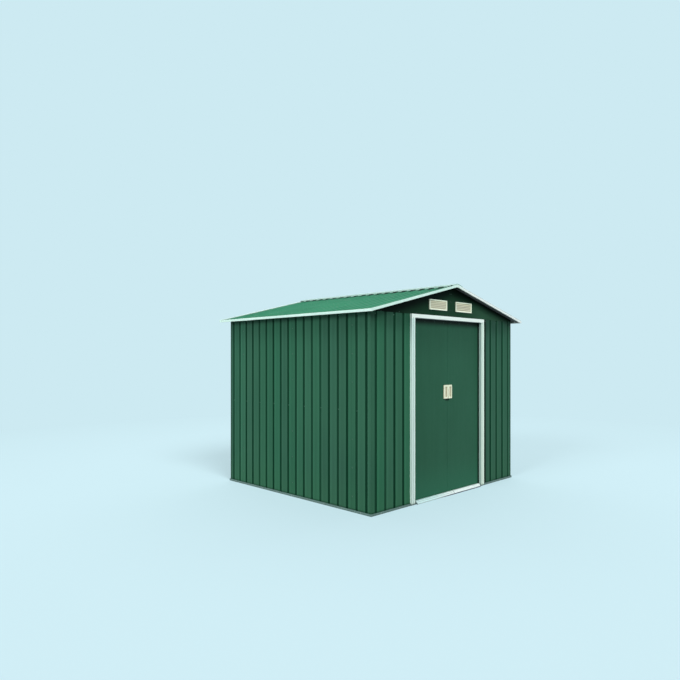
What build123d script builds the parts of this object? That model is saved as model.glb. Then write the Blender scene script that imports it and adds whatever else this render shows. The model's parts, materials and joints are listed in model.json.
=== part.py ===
from build123d import *
import os
from math import cos, radians, sin, tan

# A metal tool shed with a low gable roof: ribbed sheet walls on a channel base frame, flat gables
# with louvred vents, and two flush doors that slide apart behind the front wall.
# Millimetres. X runs along the front wall, Y from front to back, Z up. The origin is on the ground,
# under the middle of the plan.

# Sheet walls
SHEET = 1.2
RIB_PITCH = 105.0
FRONT_RIBS = 19
SIDE_RIBS = 18
GROOVE_DEPTH = 9.0
GROOVE_MOUTH = 30.0
GROOVE_FLOOR = 15.0
CORNER_PITCHES = 2
SIDE_PANEL_PITCHES = 7
BACK_PANEL_PITCHES = 5
LAP = 16.0
SEAT_GAP = 0.3

# Roof
ROOF_ANGLE = 14.0
ROOF_EDGE_HEIGHT = 1542.0
SIDE_OVERHANG = 70.0
END_OVERHANG = 71.0
ROOF_RIB_HEIGHT = 5.0
ROOF_RIB_FOOT = 40.0
ROOF_RIB_CROWN = 26.0
ROOF_PANEL_RIBS = 7
RIDGE_SLOT = 6.0
RIDGE_CAP_WING = 70.0
RIDGE_CAP_LIP = 12.0
TRIM_SHEET = 1.5
EAVE_TRIM_FACE = 18.0
EAVE_TRIM_FLANGE = 12.0
EAVE_TRIM_LIP = 12.0
VERGE_TRIM_RISE = 10.0
VERGE_TRIM_DROP = 11.0
VERGE_TRIM_FLANGE = 25.0
VERGE_TRIM_LIP = 11.0
TRIM_STANDOFF = 4.0
CORNER_CAP_LEG = 36.0
CORNER_CAP_DEPTH = 22.0

# Frame rails
RAIL_SHEET = 1.5
BASE_RAIL_HEIGHT = 18.0
BASE_RAIL_WIDTH = 50.0
BASE_RAIL_PROUD = 7.0
ANCHOR_HOLE = 8.0
ANCHOR_HOLE_INSET = 150.0
TIE_RAIL_DEPTH = 25.0
TIE_RAIL_HEIGHT = 40.0
MID_RAIL_CENTRE = 780.0
PURLIN_DEPTH = 36.0
PURLIN_FLANGE = 24.0
PURLIN_PLACE = 530.0
RIDGE_BEAM_WING = 45.0
RIDGE_BEAM_DEPTH = 40.0

# Gables and vents
GABLE_FLANGE = 25.0
GABLE_SEAM_FLANGE = 18.0
VENT_WIDTH = 240.0
VENT_HEIGHT = 86.0
VENT_SPACE = 130.0
VENT_LIFT = 49.0
VENT_BEZEL = 12.0
VENT_PROUD = 9.0
VENT_WALL = 2.0
VENT_SLEEVE = 12.0
VENT_BLADES = 5
VENT_BLADE_SHEET = 1.8
VENT_BLADE_ANGLE = 40.0

# Doorway
DOORWAY_CENTRE = -28.0
DOOR_FRAME_WIDTH = 1040.0
JAMB_FACE = 41.0
JAMB_PROUD = 20.0
JAMB_REVEAL = 28.0
JAMB_BEAD = 5.0
JAMB_FOOT = 10.0
HEAD_RAIL_HEIGHT = 30.0
RAMP_HEIGHT = 26.5
RAMP_REACH = 25.0
RAMP_SLOPE_RUN = 15.0
RAMP_END_GAP = 22.0
RAMP_INNER_EDGE = 10.0

# Sliding doors
DOOR_CLEARANCE = 5.3
DOOR_DEPTH = 15.0
DOOR_OVERLAP = 17.0
DOOR_MEETING_GAP = 5.0
DOOR_BOTTOM = 24.0
DOOR_TOP_GAP = 23.0
DOOR_BRACE_HEIGHT = 30.0
TRACK_HEIGHT = 35.0
LOWER_TRACK_HEIGHT = 18.0
GLIDE_LENGTH = 45.0
GLIDE_HEIGHT = 14.0
GLIDE_INSET = 60.0
GLIDE_CLEARANCE = 0.8
HANDLE_WIDTH = 52.0
HANDLE_HEIGHT = 118.0
HANDLE_PROUD = 12.0
HANDLE_CENTRE = 893.0
HANDLE_CORNER = 4.0
HANDLE_EDGE_GAP = 1.0
RECESS_WIDTH = 28.0
RECESS_HEIGHT = 88.0
RECESS_DEPTH = 9.0

# Places that follow from the sizes above
WIDTH = RIB_PITCH * FRONT_RIBS
DEPTH = RIB_PITCH * SIDE_RIBS
HALF_WIDTH = WIDTH / 2
HALF_DEPTH = DEPTH / 2
SLOPE = tan(radians(ROOF_ANGLE))
TILT = cos(radians(ROOF_ANGLE))
EAVE_REACH = HALF_WIDTH + SIDE_OVERHANG
VERGE_REACH = HALF_DEPTH + END_OVERHANG
WALL_SKIN = GROOVE_DEPTH + SHEET
DOOR_FRONT = -HALF_DEPTH + WALL_SKIN + RAIL_SHEET + DOOR_CLEARANCE
DOOR_BACK = DOOR_FRONT + DOOR_DEPTH
TRACK_FRONT = -HALF_DEPTH + WALL_SKIN
TRACK_BACK = DOOR_BACK + DOOR_CLEARANCE + RAIL_SHEET
DOORWAY_HALF = DOOR_FRAME_WIDTH / 2 - JAMB_FACE
HEAD_RAIL_TOP = ROOF_EDGE_HEIGHT
HEAD_RAIL_BOTTOM = HEAD_RAIL_TOP - HEAD_RAIL_HEIGHT
TRACK_TOP = HEAD_RAIL_TOP + 2 * RAIL_SHEET
DOOR_TOP = TRACK_TOP - DOOR_TOP_GAP


def pan_height(x):
    """Height of the roof pans' upper face at a distance x from the ridge."""
    return ROOF_EDGE_HEIGHT + SLOPE * (EAVE_REACH - abs(x))


def under_roof(x):
    """Height of the roof sheet's underside."""
    return pan_height(x) - SHEET / TILT


def beam_line(x):
    """Height of what carries the roof, one gable flange below the roof sheet."""
    return under_roof(x) - SHEET / TILT


def rib_crown(x):
    """Height of the roof ribs' crowns."""
    return pan_height(x) + ROOF_RIB_HEIGHT / TILT


def verge_top(x):
    """Height of the verge trims' upper edges."""
    return pan_height(x) + VERGE_TRIM_RISE / TILT


WALL_TOP = beam_line(HALF_WIDTH) - SEAT_GAP
GABLE_FOOT = HEAD_RAIL_TOP + SEAT_GAP


# Folded sheet


def moved_left(points, thickness):
    """The same open line moved sideways to the left of its run, with mitred corners."""
    runs = [Vector(*b) - Vector(*a) for a, b in zip(points, points[1:])]
    sides = [Vector(-run.Y, run.X).normalized() for run in runs]
    moved = []
    for i, point in enumerate(points):
        before, after = sides[max(i - 1, 0)], sides[min(i, len(sides) - 1)]
        shift = (before + after) * (thickness / (1 + before.dot(after)))
        moved.append((point[0] + shift.X, point[1] + shift.Y))
    return moved


def folded(points, thickness):
    """Section of a folded sheet whose outer face follows the points."""
    return make_face(Polyline(*points, *reversed(moved_left(points, thickness)), close=True))


def along_x(section, start, end):
    """A section drawn in Y and Z, run from start to end in X."""
    return extrude(Plane.YZ.offset(start) * section, amount=end - start, dir=(1, 0, 0))


def along_y(section, start, end):
    """A section drawn in X and Z, run from start to end in Y."""
    return extrude(Plane.XZ.offset(-start) * section, amount=end - start, dir=(0, 1, 0))


def upright(section, bottom, top):
    """A section drawn in X and Y, raised from bottom to top."""
    return extrude(Plane.XY.offset(bottom) * section, amount=top - bottom, dir=(0, 0, 1))


def block(low, high):
    """A plain block between two corners."""
    size = [b - a for a, b in zip(low, high)]
    return Pos(*low) * Box(*size, align=(Align.MIN, Align.MIN, Align.MIN))


def mirrored(solid):
    """The same piece on the other side of the ridge line."""
    return mirror(solid, about=Plane.YZ)


def in_doorway(solid):
    """A piece drawn about the middle of the doorway, moved to where the doorway is."""
    return Pos(DOORWAY_CENTRE, 0, 0) * solid


def to_back(solid):
    """The same piece turned half round, from the front to the back."""
    return Rot(0, 0, 180) * solid


# Walls: each wall runs anticlockwise round the plan from its first corner
WALLS = {
    "front": ((-HALF_WIDTH, -HALF_DEPTH), (1, 0)),
    "right": ((HALF_WIDTH, -HALF_DEPTH), (0, 1)),
    "back": ((HALF_WIDTH, HALF_DEPTH), (-1, 0)),
    "left": ((-HALF_WIDTH, HALF_DEPTH), (0, -1)),
}


def on_wall(wall, along, inward):
    """Plan point at a distance along a wall and inward from its outer face."""
    (x, y), (dx, dy) = WALLS[wall]
    return (x + dx * along - dy * inward, y + dy * along + dx * inward)


def grooved_run(wall, start, end):
    """Outer face of a stretch of ribbed wall, with a groove in the middle of each pitch."""
    mouth, floor = GROOVE_MOUTH / 2, GROOVE_FLOOR / 2
    line = [on_wall(wall, start, 0)]
    centre = RIB_PITCH / 2
    while centre + mouth < end:
        if centre - mouth > start:
            for offset, depth in ((-mouth, 0), (-floor, GROOVE_DEPTH), (floor, GROOVE_DEPTH), (mouth, 0)):
                line.append(on_wall(wall, centre + offset, depth))
        centre += RIB_PITCH
    return line + [on_wall(wall, end, 0)]


def lapped_run(wall, start, end):
    """A run whose far edge steps behind the next panel."""
    step = SHEET + SEAT_GAP
    line = grooved_run(wall, start, end - step)
    return line + [on_wall(wall, end, step), on_wall(wall, end + LAP, step)]


def wall_sheet(line):
    """A wall panel that stands on the web of the base rail."""
    return upright(folded(line, SHEET), RAIL_SHEET, WALL_TOP)


def panels(wall, first, last, pitches):
    """Flat panels of equal width between two places counted in pitches."""
    step = pitches * RIB_PITCH
    starts = [first * RIB_PITCH + i * step for i in range(int((last - first) // pitches))]
    return [wall_sheet(lapped_run(wall, start, start + step)) for start in starts]


def corner_panel(wall, length, next_wall):
    """An angled panel folded round the corner where one wall ends and the next begins."""
    leg = CORNER_PITCHES * RIB_PITCH
    return wall_sheet(grooved_run(wall, length - leg, length)[:-1] + lapped_run(next_wall, 0, leg))


def front_corner_panel_left():
    """The corner panel that runs on along the front to the door jamb."""
    leg = CORNER_PITCHES * RIB_PITCH
    edge = HALF_WIDTH + DOORWAY_CENTRE - DOORWAY_HALF - RAIL_SHEET - SEAT_GAP
    side = grooved_run("left", DEPTH - leg, DEPTH)[:-1]
    return wall_sheet(side + grooved_run("front", 0, edge))


def front_corner_panel_right():
    """Its counterpart, which laps behind the first panel of the right wall."""
    leg = CORNER_PITCHES * RIB_PITCH
    edge = HALF_WIDTH + DOORWAY_CENTRE + DOORWAY_HALF + RAIL_SHEET + SEAT_GAP
    return wall_sheet(grooved_run("front", edge, WIDTH)[:-1] + lapped_run("right", 0, leg))


# Base frame


def base_rail(wall_length, distance, turn, anchored=True):
    """A channel with mitred ends, turned to its wall, with holes in its web for ground anchors."""
    length = wall_length + 2 * BASE_RAIL_PROUD
    width, height = BASE_RAIL_WIDTH, BASE_RAIL_HEIGHT
    section = folded([(0, height), (0, 0), (width, 0), (width, height)], RAIL_SHEET)
    plan = make_face(
        Polyline(
            (-length / 2, 0), (length / 2, 0), (length / 2 - width, width), (width - length / 2, width),
            close=True,
        )
    )
    rail = along_x(section, -length / 2, length / 2) & upright(plan, 0, height)
    hole_line = (WALL_SKIN + BASE_RAIL_PROUD + width) / 2
    if anchored:
        for x in (ANCHOR_HOLE_INSET - wall_length / 2, wall_length / 2 - ANCHOR_HOLE_INSET):
            rail -= Pos(x, hole_line, 0) * Cylinder(ANCHOR_HOLE / 2, 4 * RAIL_SHEET)
    return Rot(0, 0, turn) * Pos(0, -distance - BASE_RAIL_PROUD, 0) * rail


def threshold_ramp_half():
    """Right half of the folded ramp over the front rail in the doorway, with a back leg on the rail's web."""
    front, inner = -HALF_DEPTH - RAMP_REACH, -HALF_DEPTH + RAMP_INNER_EDGE
    line = [(inner, RAIL_SHEET), (inner, RAMP_HEIGHT), (front + RAMP_SLOPE_RUN, RAMP_HEIGHT), (front, 0)]
    section = folded(line, RAIL_SHEET)
    ground = Rectangle(4 * BASE_RAIL_WIDTH, 2 * RAMP_HEIGHT, align=(Align.CENTER, Align.MIN))
    return along_x(section & Pos(-HALF_DEPTH, 0) * ground, SEAT_GAP, DOORWAY_HALF - RAMP_END_GAP)


# Inner rails


def channel(length_start, length_end, wall_face, bottom):
    """A wall rail along Y on the right side, open towards the inside."""
    inner, top = wall_face - TIE_RAIL_DEPTH, bottom + TIE_RAIL_HEIGHT
    line = [(inner, bottom), (wall_face, bottom), (wall_face, top), (inner, top)]
    return along_y(folded(line, RAIL_SHEET), length_start, length_end)


def top_rail_right():
    """A side rail whose upper flange lies to the slope of the roof."""
    face = HALF_WIDTH - WALL_SKIN
    inner = face - TIE_RAIL_DEPTH
    bottom = beam_line(face) - TIE_RAIL_HEIGHT
    line = [(inner, bottom), (face, bottom), (face, beam_line(face)), (inner, beam_line(inner))]
    return along_y(folded(line, RAIL_SHEET), TRACK_BACK + SEAT_GAP, back_rail_front() - SEAT_GAP)


def back_rail_front():
    """Inner edge of the rails on the back wall."""
    return HALF_DEPTH - WALL_SKIN - TIE_RAIL_DEPTH


def back_rail(bottom):
    """A rail across the back wall, open towards the inside."""
    face, inner, top = HALF_DEPTH - WALL_SKIN, back_rail_front(), bottom + TIE_RAIL_HEIGHT
    line = [(inner, bottom), (face, bottom), (face, top), (inner, top)]
    reach = HALF_WIDTH - WALL_SKIN - SEAT_GAP
    return along_x(folded(line, RAIL_SHEET), -reach, reach)


def mid_rails():
    """Rails half way up the left, right and back walls."""
    bottom = MID_RAIL_CENTRE - TIE_RAIL_HEIGHT / 2
    start, end = TRACK_BACK + SEAT_GAP, back_rail_front() - SEAT_GAP
    right = channel(start, end, HALF_WIDTH - WALL_SKIN, bottom)
    return [mirrored(right), right, back_rail(bottom)]


# Door tracks


def upper_door_track():
    """A beam across the front whose open underside guides the doors."""
    bottom = TRACK_TOP - TRACK_HEIGHT
    line = [(TRACK_BACK, bottom), (TRACK_BACK, TRACK_TOP), (TRACK_FRONT, TRACK_TOP), (TRACK_FRONT, bottom)]
    reach = HALF_WIDTH - WALL_SKIN - SEAT_GAP
    return along_x(folded(line, RAIL_SHEET), -reach, reach)


def lower_door_track():
    """A channel on the web of the front base rail."""
    bottom, top = RAIL_SHEET, RAIL_SHEET + LOWER_TRACK_HEIGHT
    line = [(TRACK_FRONT, top), (TRACK_FRONT, bottom), (TRACK_BACK, bottom), (TRACK_BACK, top)]
    reach = HALF_WIDTH - WALL_SKIN - SEAT_GAP
    return along_x(folded(line, RAIL_SHEET), -reach, reach)


# Door frame


def door_jamb():
    """The left jamb: a folded upright over the cut edge of the front wall, notched over the base rail."""
    outer, inner = -DOOR_FRAME_WIDTH / 2, -DOORWAY_HALF
    wall, face = -HALF_DEPTH, -HALF_DEPTH - JAMB_PROUD
    third = JAMB_FACE / 3
    line = [
        (outer, wall), (outer, face),
        (outer + third, face), (outer + third + JAMB_BEAD, face + JAMB_BEAD),
        (inner - third - JAMB_BEAD, face + JAMB_BEAD), (inner - third, face),
        (inner, face), (inner, face + JAMB_REVEAL),
    ]
    jamb = upright(folded(line, RAIL_SHEET), JAMB_FOOT, HEAD_RAIL_BOTTOM)
    rail_face = wall - BASE_RAIL_PROUD - SEAT_GAP
    notch = block((2 * outer, rail_face, 0), (0, 0, BASE_RAIL_HEIGHT + RAIL_SHEET + SEAT_GAP))
    return jamb - notch


def head_rail():
    """A channel across the top of the doorway, resting on both jambs, with its ends closed by tabs."""
    wall, face = -HALF_DEPTH, -HALF_DEPTH - JAMB_PROUD
    line = [
        (face + JAMB_REVEAL, HEAD_RAIL_BOTTOM), (face, HEAD_RAIL_BOTTOM),
        (face, HEAD_RAIL_TOP), (wall, HEAD_RAIL_TOP),
    ]
    section = folded(list(reversed(line)), RAIL_SHEET)
    end = DOOR_FRAME_WIDTH / 2
    rail = along_x(section, -end, end)
    notch = block((DOORWAY_HALF, wall - SEAT_GAP, 0), (DOOR_FRAME_WIDTH, 0, HEAD_RAIL_TOP - RAIL_SHEET))
    tab = block((end - RAIL_SHEET, face, HEAD_RAIL_BOTTOM), (end, wall - SEAT_GAP, HEAD_RAIL_TOP))
    return rail - notch - mirrored(notch) + tab + mirrored(tab)


# Doors: each piece is drawn for the left leaf, about the middle of the doorway


def leaf_edges():
    """Outer and meeting edge of the left leaf."""
    return -DOORWAY_HALF - DOOR_OVERLAP, -DOOR_MEETING_GAP / 2


def door_leaf():
    """A flush skin with both upright edges folded back."""
    outer, inner = leaf_edges()
    line = [(outer, DOOR_BACK), (outer, DOOR_FRONT), (inner, DOOR_FRONT), (inner, DOOR_BACK)]
    return upright(folded(line, SHEET), DOOR_BOTTOM, DOOR_TOP)


def door_braces():
    """Channels across the back of the skin at its foot, its middle and its head."""
    outer, inner = leaf_edges()
    start, end = outer + SHEET + SEAT_GAP, inner - SHEET - SEAT_GAP
    skin = DOOR_FRONT + SHEET
    braces = []
    for bottom in (DOOR_BOTTOM, HANDLE_CENTRE - DOOR_BRACE_HEIGHT / 2, DOOR_TOP - DOOR_BRACE_HEIGHT):
        top = bottom + DOOR_BRACE_HEIGHT
        line = [(DOOR_BACK, top), (skin, top), (skin, bottom), (DOOR_BACK, bottom)]
        braces.append(along_x(folded(line, RAIL_SHEET), start, end))
    return braces


def door_glides():
    """Slide blocks over and under the leaf, near both of its edges."""
    outer, inner = leaf_edges()
    front = TRACK_FRONT + RAIL_SHEET + GLIDE_CLEARANCE
    back = TRACK_BACK - RAIL_SHEET - GLIDE_CLEARANCE
    floor = 2 * RAIL_SHEET + SEAT_GAP
    glides = []
    for x in (outer + GLIDE_INSET, inner - GLIDE_INSET):
        for bottom, top in ((floor, DOOR_BOTTOM), (DOOR_TOP, DOOR_TOP + GLIDE_HEIGHT)):
            glides.append(block((x - GLIDE_LENGTH / 2, front, bottom), (x + GLIDE_LENGTH / 2, back, top)))
    return glides


def door_handle():
    """A moulded pull with an upright finger recess, beside the meeting edge."""
    right = leaf_edges()[1] - HANDLE_EDGE_GAP
    middle = right - HANDLE_WIDTH / 2
    bottom = HANDLE_CENTRE - HANDLE_HEIGHT / 2
    body = block(
        (right - HANDLE_WIDTH, DOOR_FRONT - HANDLE_PROUD, bottom),
        (right, DOOR_FRONT, bottom + HANDLE_HEIGHT),
    )
    body = fillet(body.edges().filter_by(Axis.Y), HANDLE_CORNER)
    body = chamfer(body.faces().sort_by(Axis.Y)[0].edges(), HANDLE_CORNER / 2)
    recess = Pos(middle, DOOR_FRONT - HANDLE_PROUD, HANDLE_CENTRE) * Box(
        RECESS_WIDTH, 2 * RECESS_DEPTH, RECESS_HEIGHT
    )
    return body - recess


# Gables


def gable_right():
    """Right half of the front gable: a flat sheet flanged under the roof and along its seam."""
    seam, edge = SEAT_GAP / 2, HALF_WIDTH
    bottom, face = GABLE_FOOT, -HALF_DEPTH - SHEET
    sheet = make_face(
        Polyline(
            (seam, bottom), (edge, bottom), (edge, under_roof(edge)), (seam, under_roof(seam)), close=True
        )
    )
    flange = make_face(
        Polyline(
            (seam, beam_line(seam)), (edge, beam_line(edge)),
            (edge, under_roof(edge)), (seam, under_roof(seam)), close=True,
        )
    )
    seam_top = beam_line(RIDGE_BEAM_WING) - RIDGE_BEAM_DEPTH - SHEET
    gable = along_y(sheet, face, -HALF_DEPTH)
    gable += along_y(flange, face, face + GABLE_FLANGE)
    gable += block((seam, face, WALL_TOP), (seam + SHEET, face + GABLE_SEAM_FLANGE, seam_top))
    width, height = VENT_WIDTH - VENT_BEZEL, VENT_HEIGHT - VENT_BEZEL
    return gable - Pos(vent_centre()[0], face, vent_centre()[1]) * Box(width, 4 * SHEET, height)


def vent_centre():
    """Middle of the right vent of the front gable."""
    return (VENT_SPACE + VENT_WIDTH) / 2, GABLE_FOOT + VENT_LIFT + VENT_HEIGHT / 2


def frame_face(width, height, wall):
    """A rectangle with a rectangular window."""
    return Rectangle(width, height) - Rectangle(width - 2 * wall, height - 2 * wall)


def gable_vent():
    """A moulded louvre: a bezel on the gable, a sleeve through it and blades that shed rain."""
    sleeve_width = VENT_WIDTH - VENT_BEZEL - 2 * SEAT_GAP
    sleeve_height = VENT_HEIGHT - VENT_BEZEL - 2 * SEAT_GAP
    sleeve = frame_face(sleeve_width, sleeve_height, VENT_WALL)
    window_width, window_height = sleeve_width - 2 * VENT_WALL, sleeve_height - 2 * VENT_WALL
    bezel = Rectangle(VENT_WIDTH, VENT_HEIGHT) - Rectangle(window_width, window_height)
    vent = extrude(bezel, amount=VENT_PROUD) + extrude(sleeve, amount=-VENT_SLEEVE)
    pitch = window_height / VENT_BLADES
    blade = Rot(90 - VENT_BLADE_ANGLE, 0, 0) * Box(window_width + VENT_WALL, VENT_BLADE_SHEET, 1.5 * pitch)
    room = Box(window_width + VENT_WALL, window_height + VENT_WALL, 2 * VENT_PROUD - VENT_WALL)
    for i in range(VENT_BLADES):
        vent += Pos(0, (i + 0.5) * pitch - window_height / 2, 0) * blade & room
    x, z = vent_centre()
    return Plane((x, -HALF_DEPTH - SHEET, z), x_dir=(1, 0, 0), z_dir=(0, -1, 0)) * vent


# Roof


def slope_plane(outward):
    """Section plane across the right slope, with its sheet's upper face as the zero line."""
    angle = radians(ROOF_ANGLE)
    point = (0, 0, pan_height(0))
    return Plane(point, x_dir=(0, 1, 0), z_dir=(outward * cos(angle), 0, -outward * sin(angle)))


def down_slope(section, start, end):
    """A section drawn in Y and the roof's upward normal, run down the right slope."""
    placed = slope_plane(1) * Pos(0, 0, start) * section
    return extrude(placed, amount=end - start, dir=slope_plane(1).z_dir)


def roof_line(centres):
    """Upper face of the raised ribs of one roof sheet."""
    foot, crown = ROOF_RIB_FOOT / 2, ROOF_RIB_CROWN / 2
    line = []
    for centre in centres:
        line += [(centre - foot, 0), (centre - crown, ROOF_RIB_HEIGHT)]
        line += [(centre + crown, ROOF_RIB_HEIGHT), (centre + foot, 0)]
    return line


def roof_sheets():
    """Ribbed sheets on the right slope, from the ridge slot to the eave, each lapped over the last."""
    ribs = [i * RIB_PITCH - HALF_DEPTH for i in range(SIDE_RIBS + 1)]
    groups = [ribs[i:i + ROOF_PANEL_RIBS] for i in range(0, len(ribs), ROOF_PANEL_RIBS)]
    step = SHEET + SEAT_GAP
    sheets = []
    for centres in groups:
        start, end = [(-VERGE_REACH, 0)], [(VERGE_REACH, 0)]
        if centres is not groups[0]:
            seam = centres[0] - RIB_PITCH / 2
            start = [(seam, step), (seam + LAP, step), (seam + LAP + step, 0)]
        if centres is not groups[-1]:
            end = [(centres[-1] + RIB_PITCH / 2 + LAP, 0)]
        line = start + roof_line(centres) + end
        section = folded(list(reversed(line)), SHEET)
        sheets.append(down_slope(section, RIDGE_SLOT, EAVE_REACH / TILT))
    return sheets


def ridge_cap():
    """A folded cap whose lips rest on the ribs; its ends pass over the verge trims and are closed."""
    places = (RIDGE_CAP_WING, 0, -RIDGE_CAP_WING)
    crest = [(x, rib_crown(x) + RIDGE_CAP_LIP / TILT) for x in places]
    under = [(x, verge_top(x)) for x in reversed(places)]
    end = VERGE_REACH + TRIM_STANDOFF
    lip_end = end - VERGE_TRIM_FLANGE - SEAT_GAP
    foot = rib_crown(RIDGE_CAP_WING - TRIM_SHEET)
    lip = block((RIDGE_CAP_WING - TRIM_SHEET, -lip_end, foot), (RIDGE_CAP_WING, lip_end, crest[0][1]))
    closure = along_y(make_face(Polyline(*crest, *under, close=True)), -end, TRIM_SHEET - end)
    return along_y(folded(crest, TRIM_SHEET), -end, end) + lip + mirrored(lip) + closure + to_back(closure)


def ridge_beam():
    """A peaked channel under the ridge, from gable to gable."""
    wing, foot = RIDGE_BEAM_WING, beam_line(RIDGE_BEAM_WING) - RIDGE_BEAM_DEPTH
    line = [(wing, foot), (wing, beam_line(wing)), (0, beam_line(0)), (-wing, beam_line(wing)), (-wing, foot)]
    end = HALF_DEPTH - SEAT_GAP
    return along_y(folded(line, RAIL_SHEET), -end, end)


def purlin_right():
    """A channel half way down the slope, square to the roof."""
    end = HALF_DEPTH - SEAT_GAP
    top, bottom = -2 * SHEET, -2 * SHEET - PURLIN_DEPTH
    line = [(0, bottom), (PURLIN_FLANGE, bottom), (PURLIN_FLANGE, top), (0, top)]
    section = folded(line, RAIL_SHEET)
    point = (PURLIN_PLACE, -end, pan_height(PURLIN_PLACE))
    place = Plane(point, x_dir=slope_plane(1).z_dir, z_dir=(0, -1, 0))
    return extrude(place * section, amount=2 * end, dir=(0, 1, 0))


def eave_trim_right():
    """A folded trim over the lower end of the roof sheets."""
    edge = EAVE_REACH + TRIM_STANDOFF
    inner = edge - EAVE_TRIM_FLANGE
    lift = TRIM_SHEET / TILT
    top = rib_crown(edge) + lift
    bottom = top - EAVE_TRIM_FACE
    line = [(edge - EAVE_TRIM_LIP, bottom), (edge, bottom), (edge, top), (inner, rib_crown(inner) + lift)]
    end = VERGE_REACH + TRIM_STANDOFF
    return along_y(folded(line, TRIM_SHEET), -end, end)


def verge_trim_right():
    """A folded trim along the sloping front edge of the roof, mitred at the ridge."""
    edge = -VERGE_REACH - TRIM_STANDOFF
    line = [
        (edge + VERGE_TRIM_FLANGE, TRIM_SHEET), (edge, VERGE_TRIM_RISE),
        (edge, -VERGE_TRIM_DROP), (edge + VERGE_TRIM_LIP, -VERGE_TRIM_DROP),
    ]
    stop = EAVE_REACH + TRIM_STANDOFF - EAVE_TRIM_FLANGE - SEAT_GAP
    trim = down_slope(folded(line, TRIM_SHEET), -RIDGE_CAP_WING, (EAVE_REACH + SIDE_OVERHANG) / TILT)
    return trim & block((SEAT_GAP / 2, -2 * DEPTH, 0), (stop, 2 * DEPTH, 2 * ROOF_EDGE_HEIGHT))


def corner_cap_right():
    """A cap over the corner where the eave trim meets the verge trim."""
    x = EAVE_REACH + TRIM_STANDOFF + SEAT_GAP
    y = -VERGE_REACH - TRIM_STANDOFF - SEAT_GAP
    top = verge_top(x)
    inner = x - CORNER_CAP_LEG
    rise = SLOPE * (x + TRIM_SHEET - inner)
    front = make_face(
        Polyline(
            (x + TRIM_SHEET, top), (inner, top + rise), (inner, top + rise - CORNER_CAP_DEPTH),
            (x + TRIM_SHEET, top - CORNER_CAP_DEPTH), close=True,
        )
    )
    cap = along_y(front, y - TRIM_SHEET, y)
    return cap + block((x, y, top - CORNER_CAP_DEPTH), (x + TRIM_SHEET, y + CORNER_CAP_LEG, top))


# The parts, one file for each node
parts = {
    "base_rail_front": [base_rail(WIDTH, HALF_DEPTH, 0, anchored=False)],
    "base_rail_right": [base_rail(DEPTH, HALF_WIDTH, 90)],
    "base_rail_back": [base_rail(WIDTH, HALF_DEPTH, 180)],
    "base_rail_left": [base_rail(DEPTH, HALF_WIDTH, 270)],
    "threshold_ramp": [in_doorway(mirrored(threshold_ramp_half())), in_doorway(threshold_ramp_half())],
    "corner_panel_front_left": [front_corner_panel_left()],
    "corner_panel_front_right": [front_corner_panel_right()],
    "corner_panel_back_right": [corner_panel("right", DEPTH, "back")],
    "corner_panel_back_left": [corner_panel("back", WIDTH, "left")],
    "wall_panels_right": panels("right", CORNER_PITCHES, SIDE_RIBS - CORNER_PITCHES, SIDE_PANEL_PITCHES),
    "wall_panels_back": panels("back", CORNER_PITCHES, FRONT_RIBS - CORNER_PITCHES, BACK_PANEL_PITCHES),
    "wall_panels_left": panels("left", CORNER_PITCHES, SIDE_RIBS - CORNER_PITCHES, SIDE_PANEL_PITCHES),
    "top_rail_left": [mirrored(top_rail_right())],
    "top_rail_right": [top_rail_right()],
    "top_rail_back": [back_rail(TRACK_TOP - TIE_RAIL_HEIGHT)],
    "mid_rails": mid_rails(),
    "upper_door_track": [upper_door_track()],
    "lower_door_track": [lower_door_track()],
    "door_jamb_left": [in_doorway(door_jamb())],
    "door_jamb_right": [in_doorway(mirrored(door_jamb()))],
    "door_head_rail": [in_doorway(head_rail())],
    "door_leaf_left": [in_doorway(door_leaf())],
    "door_leaf_right": [in_doorway(mirrored(door_leaf()))],
    "door_braces_left": [in_doorway(brace) for brace in door_braces()],
    "door_braces_right": [in_doorway(mirrored(brace)) for brace in door_braces()],
    "door_glides_left": [in_doorway(glide) for glide in door_glides()],
    "door_glides_right": [in_doorway(mirrored(glide)) for glide in door_glides()],
    "door_handle_left": [in_doorway(door_handle())],
    "door_handle_right": [in_doorway(mirrored(door_handle()))],
    "gable_front_left": [mirrored(gable_right())],
    "gable_front_right": [gable_right()],
    "gable_back_left": [to_back(gable_right())],
    "gable_back_right": [to_back(mirrored(gable_right()))],
    "gable_vents_front": [mirrored(gable_vent()), gable_vent()],
    "gable_vents_back": [to_back(gable_vent()), to_back(mirrored(gable_vent()))],
    "roof_sheets_left": [mirrored(sheet) for sheet in roof_sheets()],
    "roof_sheets_right": roof_sheets(),
    "ridge_cap": [ridge_cap()],
    "ridge_beam": [ridge_beam()],
    "purlins": [mirrored(purlin_right()), purlin_right()],
    "eave_trim_left": [mirrored(eave_trim_right())],
    "eave_trim_right": [eave_trim_right()],
    "verge_trims_front": [mirrored(verge_trim_right()), verge_trim_right()],
    "verge_trims_back": [to_back(verge_trim_right()), to_back(mirrored(verge_trim_right()))],
}

caps = [corner_cap_right(), mirrored(corner_cap_right())]
parts["roof_corner_caps"] = caps + [to_back(cap) for cap in caps]

os.makedirs("parts", exist_ok=True)
for name, solids in parts.items():
    shape = solids[0] if len(solids) == 1 else Compound(children=[Part() + solid for solid in solids])
    export_step(shape, f"parts/{name}.step")
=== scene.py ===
import json
import math

import bpy
from mathutils import Matrix, Vector


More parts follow.
